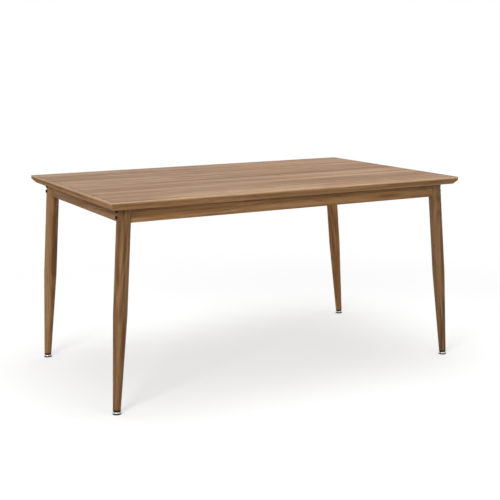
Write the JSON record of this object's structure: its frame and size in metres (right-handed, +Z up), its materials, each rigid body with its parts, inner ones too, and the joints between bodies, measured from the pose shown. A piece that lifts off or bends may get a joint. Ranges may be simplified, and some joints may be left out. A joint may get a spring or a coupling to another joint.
{
  "type": "dining table",
  "caption": "Rectangular dining table with a bevelled wood-effect top on a steel tube frame, splayed tapered round legs and screw-in levelling feet.",
  "frame": {"origin": "on the floor under the middle of the table", "axes": "+X along the table's length to the right, +Y away from the front long side, +Z up"},
  "size_m": [1.417, 0.9, 0.725],
  "materials": {
    "walnut_top": "satin wood-effect board",
    "walnut_frame": "steel tube with a satin wood-effect film",
    "zinc_steel": "zinc plated",
    "black_steel": "black oxide",
    "chrome": "polished",
    "black_plastic": "matte"
  },
  "bodies": {
    "table_frame": {"tabletop": "walnut_top", "front_rail": "walnut_frame", "back_rail": "walnut_frame", "left_rail": "walnut_frame", "right_rail": "walnut_frame", "front_left_leg": "walnut_frame", "front_left_leg_cap": "black_plastic", "front_left_foot_plug": "black_plastic", "front_right_leg": "walnut_frame", "front_right_leg_cap": "black_plastic", "front_right_foot_plug": "black_plastic", "back_left_leg": "walnut_frame", "back_left_leg_cap": "black_plastic", "back_left_foot_plug": "black_plastic", "back_right_leg": "walnut_frame", "back_right_leg_cap": "black_plastic", "back_right_foot_plug": "black_plastic", "front_rail_nut_blocks": "zinc_steel", "back_rail_nut_blocks": "zinc_steel", "frame_bolts": "black_steel", "front_rail_tabs": "zinc_steel", "back_rail_tabs": "zinc_steel", "left_rail_tabs": "zinc_steel", "right_rail_tabs": "zinc_steel", "tabletop_screws": "zinc_steel", "foot_nuts": "zinc_steel"},
    "front_left_stud": {"front_left_foot_stud": "zinc_steel"},
    "front_left_foot": {"front_left_foot_cup": "chrome", "front_left_foot_sole": "black_plastic"},
    "front_right_stud": {"front_right_foot_stud": "zinc_steel"},
    "front_right_foot": {"front_right_foot_cup": "chrome", "front_right_foot_sole": "black_plastic"},
    "back_left_stud": {"back_left_foot_stud": "zinc_steel"},
    "back_left_foot": {"back_left_foot_cup": "chrome", "back_left_foot_sole": "black_plastic"},
    "back_right_stud": {"back_right_foot_stud": "zinc_steel"},
    "back_right_foot": {"back_right_foot_cup": "chrome", "back_right_foot_sole": "black_plastic"}
  },
  "joints": [
    {"name": "front_left_foot_height", "type": "slide", "parent": "table_frame", "child": "front_left_stud", "axis": [0, 0, -1], "range_m": [-0.00125, 0.0125]},
    {"name": "front_left_foot_turn", "type": "hinge", "parent": "front_left_stud", "child": "front_left_foot", "pos_m": [-0.693, -0.392, 0.005], "axis": [0, 0, -1], "range_deg": [-360, 3600]},
    {"name": "front_right_foot_height", "type": "slide", "parent": "table_frame", "child": "front_right_stud", "axis": [0, 0, -1], "range_m": [-0.00125, 0.0125]},
    {"name": "front_right_foot_turn", "type": "hinge", "parent": "front_right_stud", "child": "front_right_foot", "pos_m": [0.693, -0.392, 0.005], "axis": [0, 0, -1], "range_deg": [-360, 3600]},
    {"name": "back_left_foot_height", "type": "slide", "parent": "table_frame", "child": "back_left_stud", "axis": [0, 0, -1], "range_m": [-0.00125, 0.0125]},
    {"name": "back_left_foot_turn", "type": "hinge", "parent": "back_left_stud", "child": "back_left_foot", "pos_m": [-0.693, 0.392, 0.005], "axis": [0, 0, -1], "range_deg": [-360, 3600]},
    {"name": "back_right_foot_height", "type": "slide", "parent": "table_frame", "child": "back_right_stud", "axis": [0, 0, -1], "range_m": [-0.00125, 0.0125]},
    {"name": "back_right_foot_turn", "type": "hinge", "parent": "back_right_stud", "child": "back_right_foot", "pos_m": [0.693, 0.392, 0.005], "axis": [0, 0, -1], "range_deg": [-360, 3600]}
  ],
  "couplings": [
    {"joint": "front_left_foot_turn", "follows": "front_left_foot_height", "rad_per_m": 5026.5},
    {"joint": "front_right_foot_turn", "follows": "front_right_foot_height", "rad_per_m": 5026.5},
    {"joint": "back_left_foot_turn", "follows": "back_left_foot_height", "rad_per_m": 5026.5},
    {"joint": "back_right_foot_turn", "follows": "back_right_foot_height", "rad_per_m": 5026.5}
  ]
}
